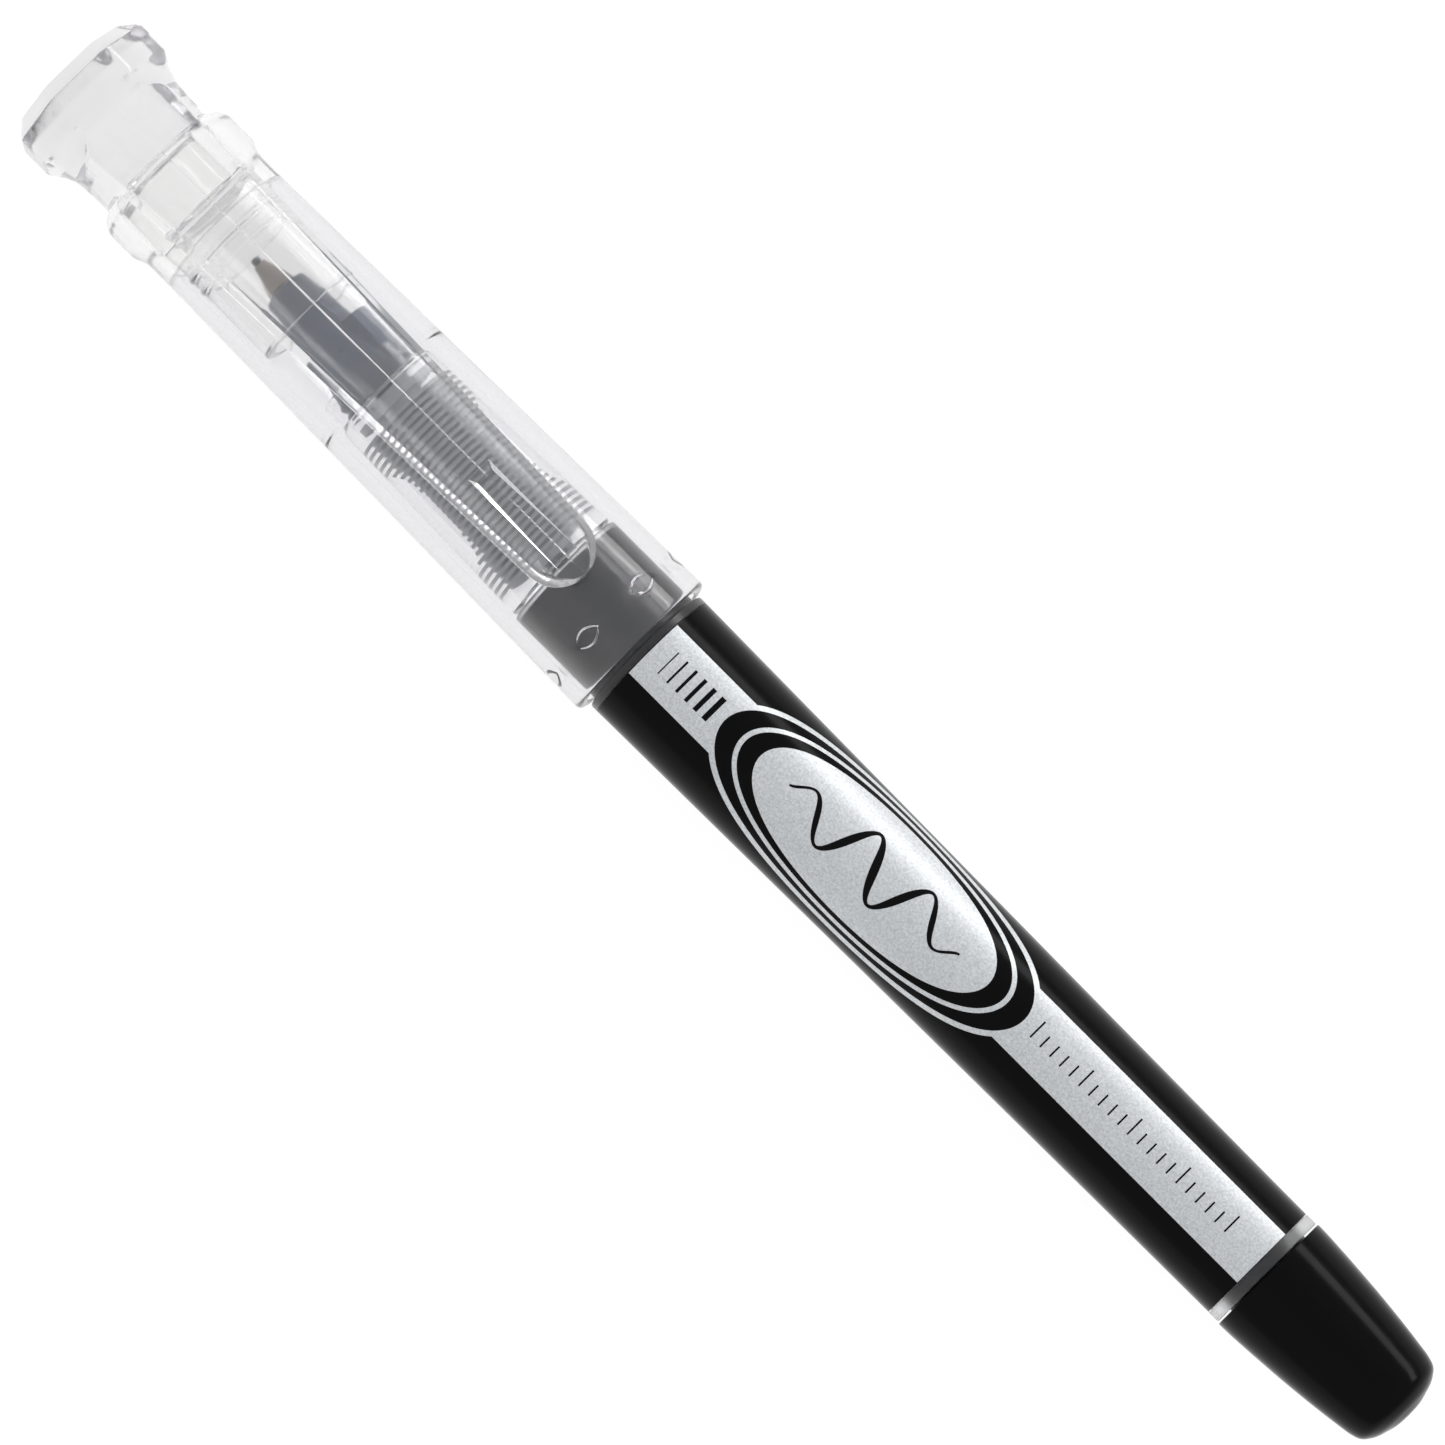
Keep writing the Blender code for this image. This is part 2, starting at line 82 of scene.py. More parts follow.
CROWN_REAR = station_of("crown", 1)
TUBE_FRONT = station_of("cap_tube", 0)
CAP_MOUTH = station_of("cap_tube", 1)
CLIP_TIP = station_of("clip", 1)
CLIP_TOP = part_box("clip")[1].z / MM - AXIS_HEIGHT
INNER_CAP_FRONT = station_of("inner_cap", 0)
INNER_CAP_MOUTH = station_of("inner_cap", 1)
POINT_TIP = station_of("writing_point", 0)
SLEEVE_FRONT = station_of("tip_sleeve", 0)
NOSE_FRONT = station_of("nose_cone", 0)
NOSE_REAR = station_of("nose_cone", 1)
SECTION_FRONT = station_of("section_tube", 0)
SECTION_REAR = station_of("section_tube", 1)
BARREL_FRONT = station_of("barrel_tube", 0)
BARREL_REAR = station_of("barrel_tube", 1)
LABEL_FRONT = station_of("label_sleeve", 0)
LABEL_REAR = station_of("label_sleeve", 1)

CROWN_FLARE = 6.2
CROWN_FLAT = 2.8
CROWN_CHAMFER = 1.1
CROWN_NECK = 5.15
COLLAR_RADIUS = 6.25
COLLAR_FRONT = 9.3
COLLAR_REAR = 13.2
COLLAR_SWEEP = 2.3
TUBE_FRONT_RADIUS = 5.8
TUBE_WALL = 1.0
CAP_RIDGE = 32.8
CLIP_ROOT = 4.6
CLIP_THICKNESS = 1.5
CLIP_DRAFT = 0.65
CLIP_LEVEL = 22.0
CLIP_TIP_HALF_WIDTH = 2.95
CLIP_WIDENING = 0.0283       # growth of the clip's half width per millimetre from its tip
CLIP_FOOT = 16.0             # before this station the clip widens faster
CLIP_FOOT_WIDENING = 0.035
PAD_FRONT = 43.1
PAD_REAR = 52.7
PAD_DEPTH = 0.55
PAD_HALF_WIDTH = 1.07
PAD_SLOPE = 0.7
BARREL_FRONT_RADIUS = 5.67
BARREL_REAR_RADIUS = 5.07
BARREL_TAPER_POWER = 1.2
BARREL_WALL = 0.95
NECK_RADIUS = 5.1
NECK_BORE = 4.1
BARREL_STEP = CAP_MOUTH + 0.4
FIN_FIRST = 35.5
FIN_PITCH = 0.565
FIN_COUNT = 27
WIDE_FINS = 5
WIDE_FIN_RADIUS = 3.9
LABEL_RECESS = 0.27          # depth of the seat in the barrel that the label lies in
LABEL_THICKNESS = 0.15
WET = 0.03                   # how far ink and fins reach into the wall that they touch

ROUND = 192                  # facets of a turned piece


def to_world(station, across, above):
    """A point given along the pen and from its axis, in the frame's metres."""
    return Vector((CROWN_X + station * MM, across * MM, (above + AXIS_HEIGHT) * MM))


def mix(low, high, share):
    """The value at a share of the way from low to high."""
    return low + (high - low) * share


def smooth_step(value, start, end):
    """Rises smoothly from 0 at start to 1 at end."""
    share = min(max((value - start) / (end - start), 0.0), 1.0)
    return share * share * (3 - 2 * share)


def tube_radius(station):
    """Outer radius of the cap's tapered tube."""
    share = (station - TUBE_FRONT) / (CAP_MOUTH - TUBE_FRONT)
    return mix(TUBE_FRONT_RADIUS, MOUTH_RADIUS, share)


def barrel_radius(station):
    """Outer radius of the label on the tapered barrel."""
    share = (LABEL_REAR - station) / (LABEL_REAR - LABEL_FRONT)
    rise = (BARREL_FRONT_RADIUS - BARREL_REAR_RADIUS) * max(share, 0.0) ** BARREL_TAPER_POWER
    return BARREL_REAR_RADIUS + rise


# ---------------------------------------------------------------- materials

PLASTIC_IOR = 1.46
BLACK_SPECULAR = 0.07        # specular level of the black film, the black print and the plug


def new_material(name, **values):
    """A Principled material with the given socket values. Returns it, its shader and its tree."""
    material = bpy.data.materials.new(name)
    material.use_nodes = True
    tree = material.node_tree
    shader = tree.nodes["Principled BSDF"]
    for socket, value in values.items():
        name_in_shader = socket.replace("_", " ")
        if isinstance(value, tuple):
            value = (*value, 1.0)
        shader.inputs[name_in_shader].default_value = value
    return material, shader, tree


def object_noise(tree, scale, detail=3.0, stretch=(1.0, 1.0, 1.0), roughness=0.5):
    """Noise fixed to the object, so many cycles per metre, stretched along the given axes."""
    place = tree.nodes.new("ShaderNodeTexCoord")
    mapping = tree.nodes.new("ShaderNodeMapping")
    mapping.inputs["Scale"].default_value = stretch
    noise = tree.nodes.new("ShaderNodeTexNoise")
    noise.inputs["Scale"].default_value = scale
    noise.inputs["Detail"].default_value = detail
    noise.inputs["Roughness"].default_value = roughness
    tree.links.new(place.outputs["Object"], mapping.inputs["Vector"])
    tree.links.new(mapping.outputs["Vector"], noise.inputs["Vector"])
    return noise


def add_bump(tree, shader, noise, strength, distance):
    """Raises the surface by noise."""
    bump = tree.nodes.new("ShaderNodeBump")
    bump.inputs["Strength"].default_value = strength
    bump.inputs["Distance"].default_value = distance
    tree.links.new(noise.outputs["Fac"], bump.inputs["Height"])
    tree.links.new(bump.outputs["Normal"], shader.inputs["Normal"])


def add_ramp(tree, noise, socket, low, high):
    """Drives a colour or a value of the shader between two levels with noise."""
    ramp = tree.nodes.new("ShaderNodeMapRange")
    ramp.inputs["From Min"].default_value = 0.3
    ramp.inputs["From Max"].default_value = 0.7
    ramp.inputs["To Min"].default_value = low
    ramp.inputs["To Max"].default_value = high
    tree.links.new(noise.outputs["Fac"], ramp.inputs["Value"])
    tree.links.new(ramp.outputs["Result"], socket)


def darken_by_depth(tree, density):
    """Takes off light by its way through the plastic, so thick parts look darker than thin ones."""
    body = tree.nodes.new("ShaderNodeVolumeAbsorption")
    body.inputs["Color"].default_value = (0.05, 0.02, 0.07, 1.0)
    body.inputs["Density"].default_value = density
    output = tree.nodes["Material Output"]
    tree.links.new(body.outputs["Volume"], output.inputs["Volume"])


def clear_plastic(name, tint, roughness, clearness, waves, scale=220.0, density=0.0):
    """Moulded clear plastic with a faint haze and shallow waves of the given strength and scale."""
    material, shader, tree = new_material(
        name, Base_Color=tint, Roughness=roughness, IOR=PLASTIC_IOR, Transmission_Weight=clearness)
    noise = object_noise(tree, scale, 2.0, (0.25, 1.0, 1.0))
    add_bump(tree, shader, noise, waves, 0.0002)
    if density > 0:
        darken_by_depth(tree, density)
    return material


def solid_plastic(name, color, low_roughness, high_roughness, grain, grain_scale=1800.0, **values):
    """Opaque moulded plastic with slightly uneven gloss and a fine grain."""
    material, shader, tree = new_material(name, Base_Color=color, **values)
    noise = object_noise(tree, grain_scale)
    add_ramp(tree, noise, shader.inputs["Roughness"], low_roughness, high_roughness)
    add_bump(tree, shader, noise, grain, 0.00005)
    return material


def silver_print():
    """Matt silver ink with the speckle of its flakes."""
    material, shader, tree = new_material(
        "silver_print", Base_Color=(0.70, 0.72, 0.73), Metallic=0.35, Roughness=0.42)
    noise = object_noise(tree, 5200.0, 4.0, roughness=0.65)
    ramp = tree.nodes.new("ShaderNodeValToRGB")
    ramp.color_ramp.elements[0].position = 0.3
    ramp.color_ramp.elements[0].color = (0.49, 0.51, 0.515, 1)
    ramp.color_ramp.elements[1].position = 0.7
    ramp.color_ramp.elements[1].color = (0.77, 0.79, 0.795, 1)
    tree.links.new(noise.outputs["Fac"], ramp.inputs["Fac"])
    tree.links.new(ramp.outputs["Color"], shader.inputs["Base Color"])
    add_bump(tree, shader, noise, 0.25, 0.00004)
    return material


MATERIALS = {
    "cap": clear_plastic("cap_plastic", (0.985, 0.985, 0.99), 0.05, 0.992, 0.06, density=75.0),
    "crown": clear_plastic("crown_plastic", (0.99, 0.99, 0.985), 0.1, 0.985, 0.5, 320.0, 18.0),
    "inner_cap": clear_plastic("inner_cap_plastic", (0.99, 0.99, 0.985), 0.08, 0.99, 0.3),
    "section": clear_plastic("section_plastic", (0.97, 0.97, 0.975), 0.03, 1.0, 0.2),
    "barrel": clear_plastic("barrel_plastic", (0.95, 0.955, 0.96), 0.28, 1.0, 0.1),
    "nose": solid_plastic("nose_plastic", (0.15, 0.18, 0.235), 0.25, 0.4, 0.1),
    "point": solid_plastic("point_fibre", (0.03, 0.035, 0.045), 0.6, 0.9, 0.4, 9000.0),
    "sleeve": solid_plastic("sleeve_beige", (0.55, 0.46, 0.38), 0.3, 0.45, 0.1),
    "collector": solid_plastic("collector_grey", (0.94, 0.95, 0.965), 0.35, 0.5, 0.1),
    "feed": solid_plastic("feed_fibre", (0.12, 0.12, 0.13), 0.8, 0.95, 0.5, 7000.0),
    "ink": solid_plastic("ink_black", (0.004, 0.004, 0.006), 0.05, 0.1, 0.0),
    "label": solid_plastic(
        "label_film", (0.002, 0.002, 0.002), 0.16, 0.22, 0.03, 2500.0, Specular_IOR_Level=BLACK_SPECULAR),
    "print": solid_plastic(
        "black_print", (0.003, 0.003, 0.003), 0.3, 0.4, 0.05, 2500.0, Specular_IOR_Level=BLACK_SPECULAR),
    "silver": silver_print(),
    "plug": solid_plastic(
        "plug_black", (0.002, 0.002, 0.002), 0.14, 0.2, 0.03, 900.0, Specular_IOR_Level=BLACK_SPECULAR),
}


# ---------------------------------------------------------------- mesh tools


def finish_mesh(name, builder, material, crease_degrees=40):
    """Turns a built mesh into a smooth-shaded object with one material."""
    bmesh.ops.recalc_face_normals(builder, faces=builder.faces)
    mesh = bpy.data.meshes.new(name)
    builder.to_mesh(mesh)
    builder.free()
    mesh.shade_smooth()
    mesh.set_sharp_from_angle(angle=math.radians(crease_degrees))
    piece = bpy.data.objects.new(name, mesh)
    bpy.context.scene.collection.objects.link(piece)
    piece.data.materials.append(MATERIALS[material])
    return piece


def bridge_rings(builder, rings, closed):
    """Joins neighbouring rings with faces. A ring of one point makes a fan."""
    pairs = list(zip(rings, rings[1:]))
    if closed:
        pairs.append((rings[-1], rings[0]))
    for first, second in pairs:
        count = max(len(first), len(second))
        for index in range(count):
            following = (index + 1) % count
            corners = [first[index % len(first)]]
            if len(first) > 1:
                corners.append(first[following])
            if len(second) > 1:
                corners.append(second[following])
            corners.append(second[index % len(second)])
            builder.faces.new(corners)


def rounded(points, radius, steps=5):
    """Rounds the corners of an open or closed outline of (station, radius) points.

    Each point may carry its own fillet as a third value. Ends on the axis stay sharp.
    """
    closed = not (points[0][1] == 0 and points[-1][1] == 0)
    result = []
    count = len(points)
    for index, point in enumerate(points):
        here = Vector(point[:2])
        fillet = point[2] if len(point) > 2 else radius
        if (not closed and index in (0, count - 1)) or fillet <= 0:
            result.append(tuple(here))
            continue
        before = Vector(points[index - 1][:2])
        after = Vector(points[(index + 1) % count][:2])
        to_before = before - here
        to_after = after - here
        reach = min(fillet, to_before.length * 0.45, to_after.length * 0.45)
        start = here + to_before.normalized() * reach
        end = here + to_after.normalized() * reach
        support = reach * 0.25
        result.append(tuple(start + to_before.normalized() * min(support, to_before.length * 0.04)))
        for step in range(steps + 1):
            share = step / steps
            curve = start * (1 - share) ** 2 + here * 2 * share * (1 - share) + end * share ** 2
            result.append(tuple(curve))
        result.append(tuple(end + to_after.normalized() * min(support, to_after.length * 0.04)))
    return result


def turned(name, outline, material, facets=ROUND, shape=None, crease_degrees=40):
    """Turns an outline about the axis. shape(station, angle, radius) may move each point's radius."""
    builder = bmesh.new()
    rings = []
    for station, radius in outline:
        if radius < 1e-6:
            rings.append([builder.verts.new(to_world(station, 0, 0))])
            continue
        ring = []
        for index in range(facets):
            angle = 2 * math.pi * index / facets
            local = shape(station, angle, radius) if shape else radius
            ring.append(builder.verts.new(
                to_world(station, local * math.sin(angle), local * math.cos(angle))))
        rings.append(ring)
    on_axis = outline[0][1] < 1e-6 and outline[-1][1] < 1e-6
    bridge_rings(builder, rings, closed=not on_axis)
    return finish_mesh(name, builder, material, crease_degrees)


def combine(target, tool, operation):
    """Applies a Boolean with a tool, which is then deleted."""
    modifier = target.modifiers.new("cut", "BOOLEAN")
    modifier.operation = operation
    modifier.solver = "EXACT"
    modifier.object = tool
    bpy.context.view_layer.update()
    evaluated = target.evaluated_get(bpy.context.evaluated_depsgraph_get())
    target.data = bpy.data.meshes.new_from_object(evaluated)
    target.modifiers.clear()
    bpy.data.objects.remove(tool, do_unlink=True)


def place(piece, body, slot, *nodes):
    """Rides on a body and stands for CAD nodes. Its slot argument is not used."""
    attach(piece, body)
    if nodes:
        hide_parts(*nodes)
    return piece


# ---------------------------------------------------------------- cap


def flats_radius(angle, half_width):
    """Radius of the crown's eight-sided section, whose corners are cut from a square."""
    across = abs(math.sin(angle))
    above = abs(math.cos(angle))
    half_flat = half_width * CROWN_FLAT / CROWN_FLARE
    return min(half_width / max(across, above), (half_width + half_flat) / (across + above))


CROWN_PROFILE = [
    # station, half width, squareness
    (0.0, CROWN_FLARE - CROWN_CHAMFER, 1.0),
    (CROWN_CHAMFER, CROWN_FLARE, 1.0),
    (3.6, CROWN_FLARE, 1.0),
    (4.7, mix(CROWN_NECK, CROWN_FLARE, 0.42), 0.7),
    (5.8, CROWN_NECK + 0.1, 0.3),
    (7.4, CROWN_NECK - 0.02, 0.0),
    (COLLAR_FRONT, CROWN_NECK, 0.0),
    (COLLAR_FRONT + 0.25, COLLAR_RADIUS - 0.45, 0.0),
    (COLLAR_FRONT + 0.95, COLLAR_RADIUS, 0.0),
    (COLLAR_REAR - 0.3, COLLAR_RADIUS, 0.0),
    (COLLAR_REAR + 0.6, TUBE_FRONT_RADIUS + 0.02, 0.0),
    (CROWN_REAR, TUBE_FRONT_RADIUS, 0.0),
]


def crown_radius(station, angle):
    """Radius of the crown without the clip's root, read from its profile."""
    sweep = COLLAR_SWEEP * max(math.cos(angle), 0.0) ** 1.5
    lean_from = COLLAR_FRONT + 1.2
    lean_to = COLLAR_REAR + 0.6
    if station > lean_from:
        swept_to = lean_to + sweep
        if station < swept_to:
            station = lean_from + (station - lean_from) * (lean_to - lean_from) / (swept_to - lean_from)
        else:
            station = max(station, lean_to)
    stations = [row[0] for row in CROWN_PROFILE]
    half_width = float(np.interp(station, stations, [row[1] for row in CROWN_PROFILE]))
    squareness = float(np.interp(station, stations, [row[2] for row in CROWN_PROFILE]))
    return mix(half_width, flats_radius(angle, half_width), squareness)


def soften(field, passes):
    """Rounds the edges of a radius field, along the pen and around it."""
    for _ in range(passes):
        inner = field.copy()
        inner[1:-1] = (field[:-2] + 2 * field[1:-1] + field[2:]) / 4
        field = (np.roll(inner, 1, axis=1) + 2 * inner + np.roll(inner, -1, axis=1)) / 4
    return field


def clip_half_width(station):
    """Half the clip's width: a slow taper, wider at its foot, with a round tip."""
    straight = CLIP_TIP_HALF_WIDTH + CLIP_WIDENING * (CLIP_TIP - 2.0 - station)
    if station < CLIP_FOOT:
        straight += CLIP_FOOT_WIDENING * (CLIP_FOOT - station)
    from_tip = CLIP_TIP - station
    if from_tip >= straight:
        return straight
    return math.sqrt(max(straight ** 2 - (straight - from_tip) ** 2, 0.0))


def clip_top(station):
    """Height of the clip's outer face: it climbs out of the neck and then runs level."""
    stations = [CLIP_ROOT, 6.5, 9.5, 13.6, 18.0, CLIP_LEVEL, CLIP_TIP]
    drops = [2.9, 1.9, 1.0, 0.5, 0.15, 0.0, 0.0]
    return CLIP_TOP - float(np.interp(station, stations, drops))


def clip_bottom(station):
    """Height of the clip's underside, buried in the crown at its root."""
    buried = 1.5
    free = clip_top(station) - CLIP_THICKNESS
    return mix(buried, free, smooth_step(station, 12.6, 15.6))


def clip_ring(station, half_width, bottom, top):
    """The clip's cross-section: flat, with drafted sides, round edges and a fine mould line."""
    lean = min(CLIP_DRAFT, half_width * 0.35)
    edge = min(0.22, half_width * 0.25)
    line = min(0.07, half_width * 0.1)
    corners = [
        (-half_width, bottom, edge * 0.7),
        (-half_width + lean, top, edge),
        (-line, top, 0.01),
        (0.0, top - line, 0.01),
        (line, top, 0.01),
        (half_width - lean, top, edge),
        (half_width, bottom, edge * 0.7),
    ]
    return [(station, across, above) for across, above in rounded(corners, 0.2, steps=4)]


def make_clip_bar():
    """The clip as one bar from its buried root to its round tip."""
    straight = list(np.arange(CLIP_ROOT, 50.0, 0.35))
    turns = [math.radians(turn) for turn in range(0, 90, 5)] + [math.radians(88.5)]
    tip = [CLIP_TIP - CLIP_TIP_HALF_WIDTH * (1 - math.sin(turn)) for turn in turns]
    stations = [station for station in straight if station < tip[0] - 0.2] + tip
    builder = bmesh.new()
    rings = []
    for station in stations:
        half_width = clip_half_width(station)
        if station < 6.5:
            half_width = mix(3.3, half_width, smooth_step(station, 4.2, 6.5))
        section = clip_ring(station, half_width, clip_bottom(station), clip_top(station))
        rings.append([builder.verts.new(to_world(*point)) for point in section])
    bridge_rings(builder, rings, closed=False)
    builder.faces.new(rings[0])
    builder.faces.new(rings[-1])
    return finish_mesh("clip_bar", builder, "crown", 30)


def pad_ring(station, depth):
    """The wedge's cross-section: its sides slope in towards the face that presses on the tube."""
    base = CLIP_TOP - CLIP_THICKNESS
    narrow = PAD_HALF_WIDTH - PAD_SLOPE * depth
    soft = min(0.12, depth * 0.5)
    corners = [
        (-PAD_HALF_WIDTH, base + 0.4, 0.02),
        (PAD_HALF_WIDTH, base + 0.4, 0.02),
        (PAD_HALF_WIDTH, base, 0.02),
        (narrow, base - depth, soft),
        (-narrow, base - depth, soft),
        (-PAD_HALF_WIDTH, base, 0.02),
    ]
    return [(station, across, above) for across, above in rounded(corners, 0.02, steps=4)]


def make_clip_pad():
    """The wedge under the clip's end that presses on the tube, steep in front and fading to the tip."""
    edge = 0.02
    crest = PAD_FRONT + 0.9
    ends = [
        (PAD_FRONT, edge),
        (PAD_FRONT + 0.15, PAD_DEPTH * 0.2),
        (PAD_FRONT + 0.55, PAD_DEPTH * 0.84),
        (PAD_FRONT + 0.72, PAD_DEPTH * 0.97),
        (crest, PAD_DEPTH),
    ]
    for step in range(1, 13):
        share = step / 12
        ends.append((mix(crest, PAD_REAR, share), mix(PAD_DEPTH, edge, share)))
    builder = bmesh.new()
    rings = [[builder.verts.new(to_world(*point)) for point in pad_ring(*end)] for end in ends]
    bridge_rings(builder, rings, closed=False)
    builder.faces.new(rings[0])
    builder.faces.new(rings[-1])
    return finish_mesh("clip_pad", builder, "crown", 30)


def make_crown_body():
    """The solid crown and collar, skinned ring by ring from its radius field."""
    facets = 144
    stations = np.linspace(0.0, CROWN_REAR, 150)
    angles = 2 * np.pi * (np.arange(facets) + 0.5) / facets
    field = np.array([[crown_radius(float(station), float(angle)) for angle in angles]
                      for station in stations])
    field = soften(field, 3)
    builder = bmesh.new()

    def add_ring(station, radii):
        return [builder.verts.new(to_world(station, radius * math.sin(angle), radius * math.cos(angle)))
                for radius, angle in zip(radii, angles)]

    rings = [[builder.verts.new(to_world(0.0, 0, 0))]]
    rings += [add_ring(0.0, field[0] * share) for share in (0.3, 0.6, 0.85, 0.97)]
    rings += [add_ring(float(station), row) for station, row in zip(stations, field)]
    rings.append([builder.verts.new(to_world(CROWN_REAR, 0, 0))])
    bridge_rings(builder, rings, closed=False)
    return finish_mesh("crown_and_clip", builder, "crown", 35)


def make_crown_and_clip():
    """Crown, collar and clip as one moulding."""
    crown = make_crown_body()
    combine(crown, make_clip_bar(), "UNION")
    combine(crown, make_clip_pad(), "UNION")
    bore_front = INNER_CAP_FRONT - 0.3
    bore_rear = CROWN_REAR + 1.0
    bore_radius = 4.7
    bore = rounded([
        (bore_front, 0),
        (bore_front, bore_radius, 0.4),
        (bore_rear, bore_radius + 0.1, 0),
        (bore_rear, 0),
    ], 0.3)
    combine(crown, turned("bore", bore, "crown", 144), "DIFFERENCE")
    crown.data.set_sharp_from_angle(angle=math.radians(35))
    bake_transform(crown)
    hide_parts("crown", "clip")
    return crown


def detent_height(station, angle, count=6, half_length=0.8, half_width=1.35, height=0.34):
    """Height of the lens-shaped bumps inside the cap's mouth at one point of its inner wall."""
    if abs(math.cos(angle)) < 0.3:
        height *= 0.3
    along = (station - (CAP_MOUTH - 2.9)) / half_length
    step = 2 * math.pi / count
    nearest = (math.floor(angle / step) + 0.5) * step
    across = (angle - nearest) * (MOUTH_RADIUS - TUBE_WALL) / half_width
    if abs(along) >= 1 or abs(across) >= 1:
        return 0.0
    return height * smooth_step(1 - abs(along) - across ** 2, 0.0, 0.4)


def make_cap_tube():
    """The cap's tapered tube, with a low ring inside and six bumps near its mouth."""
    front = CROWN_REAR + 0.03
    inner_mouth = MOUTH_RADIUS - TUBE_WALL
    inner_front = TUBE_FRONT_RADIUS - TUBE_WALL + 0.05
    ridge_radius = tube_radius(CAP_RIDGE) - TUBE_WALL
    ridge_crest = ridge_radius - 0.07

    def shape(station, angle, radius):
        if radius > inner_mouth + 0.1 or station < CAP_MOUTH - 4:
            return radius
        return radius - detent_height(station, angle)

    fine = [(CAP_MOUTH - 1.9 - 0.08 * step, inner_mouth - 0.0006 * step) for step in range(26)]
    outline = rounded([
        (front, TUBE_FRONT_RADIUS, 0.02),
        (CAP_MOUTH, MOUTH_RADIUS, 0.45),
        (CAP_MOUTH, inner_mouth, 0.4),
        (CAP_MOUTH - 1.7, inner_mouth - 0.01, 0),
        *[(station, radius, 0) for station, radius in fine],
        (CAP_RIDGE + 0.4, ridge_radius, 0.1),
        (CAP_RIDGE + 0.1, ridge_crest, 0.1),
        (CAP_RIDGE - 0.1, ridge_crest, 0.1),
        (CAP_RIDGE - 0.4, ridge_radius, 0.1),
        (front, inner_front, 0.02),
    ], 0.2, steps=6)
    tube = turned("cap_tube_clear", outline, "cap", facets=288, shape=shape)
    return place(tube, "cap", "cap_clear", "cap_tube")


def make_inner_cap():
    """The sealing cap: a cup with two sealing rings and a thin lip at its mouth."""
    front = INNER_CAP_FRONT
    floor = front + 4.4
    mouth = INNER_CAP_MOUTH
    points = [(front, 0), (front, 4.2, 0.4), (front + 0.3, 4.4, 0.1)]
    for ring in (17.4, 18.6):
        points += [(ring - 0.3, 4.42, 0.1), (ring, 4.62, 0.15), (ring + 0.3, 4.42, 0.1)]
    points += [
        (mouth - 0.45, 4.45, 0.1),
        (mouth, 4.5, 0.2),
        (mouth, 3.7, 0.15),
        (mouth - 0.4, 3.85, 0.1),
        (floor, 3.6, 0.3),
        (floor, 0),
    ]
    cup = turned("inner_cap_clear", rounded(points, 0.1), "inner_cap")
    return place(cup, "cap", "inner_cap_clear", "inner_cap")


# ---------------------------------------------------------------- nib, nose and collector


def make_point():
    """The writing point: a thin rod with a round end, held in the sleeve."""
    rod = 0.33
    stem = 0.22
    stem_end = 24.4
    outline = rounded([
        (POINT_TIP, 0),
        (POINT_TIP, 0.24, 0.12),
        (POINT_TIP + 0.2, rod, 0.08),
        (SLEEVE_FRONT - 0.1, rod, 0.05),
        (SLEEVE_FRONT - 0.1, stem, 0),
        (stem_end, stem, 0),
        (stem_end, 0),
    ], 0.05)
    return place(turned("point_tip", outline, "point", 48), "barrel", "point_dark", "writing_point")


def make_sleeve():
    """The tapered sleeve between the point and the nose."""
    bore = 0.4
    stem = 1.1
    stem_end = 24.6
    outline = rounded([
        (SLEEVE_FRONT, 0.52, 0.06),
        (SLEEVE_FRONT + 0.5, 0.64, 0.1),
        (NOSE_FRONT - 0.2, 1.28, 0.1),
        (NOSE_FRONT - 0.1, stem, 0.05),
        (stem_end, stem, 0.05),
        (stem_end, bore, 0),
        (SLEEVE_FRONT, bore, 0.04),
    ], 0.1)
    return place(turned("tip_sleeve_beige", outline, "sleeve", 96), "barrel", "sleeve_beige", "tip_sleeve")


def make_nose():
    """The nose, with a raised rib along one side that starts in a step."""
    rib_front = 27.7
    rib_angle = math.radians(68)
    rib_radius = 3.38
    rear_radius = 3.4
    bore_step = 25.4

    def shape(station, angle, radius):
        on_side = smooth_step(math.cos(angle - rib_angle), 0.75, 0.83)
        on_rib = smooth_step(station, rib_front - 0.05, rib_front + 0.05)
        if radius < 1.9 or station > NOSE_REAR - 0.7:
            return radius
        return mix(radius, max(radius, rib_radius), on_side * on_rib)

    outline = rounded([
        (NOSE_FRONT, 1.75, 0.12),
        (NOSE_FRONT + 0.25, 1.95, 0.15),
        (rib_front - 0.1, 2.22, 0),
        (rib_front - 0.03, 2.23, 0),
        (rib_front + 0.03, 2.24, 0),
        (rib_front + 0.1, 2.26, 0),
        (29.5, 2.7, 0.5),
        (NOSE_REAR - 0.6, rear_radius, 0.3),
        (NOSE_REAR, rear_radius, 0.1),
        (NOSE_REAR, 1.25, 0),
        (bore_step, 1.25, 0),
        (bore_step, 1.4, 0),
        (NOSE_FRONT, 1.4, 0.08),
    ], 0.1)
    nose = turned("nose_dark", outline, "nose", shape=shape)
    return place(nose, "barrel", "nose_dark", "nose_cone")


def section_bore(station):
    """Inner radius of the section where the collector's fins touch it."""
    return mix(3.6, 3.86, (station - FIN_FIRST) / (SECTION_REAR - FIN_FIRST))


